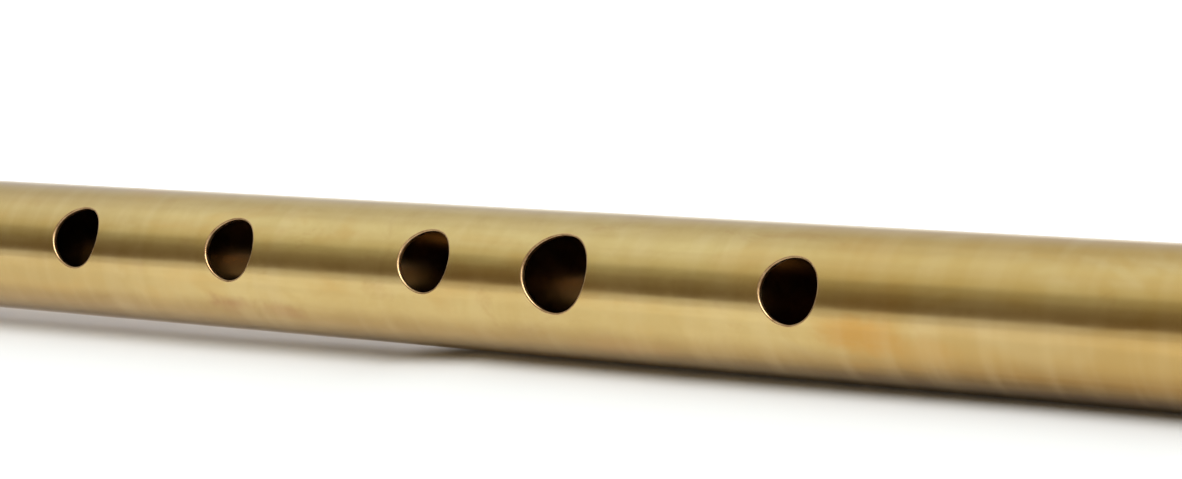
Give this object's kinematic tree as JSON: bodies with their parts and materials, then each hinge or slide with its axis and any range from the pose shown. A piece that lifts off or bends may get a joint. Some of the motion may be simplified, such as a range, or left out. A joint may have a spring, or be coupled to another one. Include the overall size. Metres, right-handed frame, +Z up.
{
  "type": "tin whistle",
  "caption": "Tuneable high D tin whistle: brass tube with a row of finger holes, in a turned black head with a cedar block, brass labium and O-ring tuning slide.",
  "frame": {"origin": "on the bore's axis at the foot's open end face", "axes": "+X along the tube from the mouthpiece towards the foot, so the whistle lies at negative X; +Z up as the whistle lies on its side; the row of finger holes and the window look along -Y and 30 degrees above level"},
  "size_m": [0.3012, 0.0182, 0.0182],
  "materials": {
    "tube_brass": "satin, bare, lightly tarnished",
    "trim_brass": "turned and polished",
    "acetal": "black, turned, satin",
    "cedar": "unvarnished",
    "ring_rubber": "matte"
  },
  "bodies": {
    "tube": {"body_tube": "tube_brass"},
    "slide_rings": {"tuning_o_ring_inner": "ring_rubber", "tuning_o_ring_outer": "ring_rubber"},
    "head": {"head_barrel": "acetal", "fipple_plug": "cedar", "labium_insert": "trim_brass", "socket_ferrule": "trim_brass", "slide_liner": "trim_brass", "plug_pin": "trim_brass"}
  },
  "joints": [
    {"name": "tuning_slide", "type": "slide", "parent": "tube", "child": "slide_rings", "axis": [-1, 0, 0], "range_m": [-0.003, 0.009]},
    {"name": "head_swivel", "type": "hinge", "parent": "slide_rings", "child": "head", "pos_m": [-0.22, 0, 0], "axis": [1, 0, 0], "continuous": true}
  ]
}
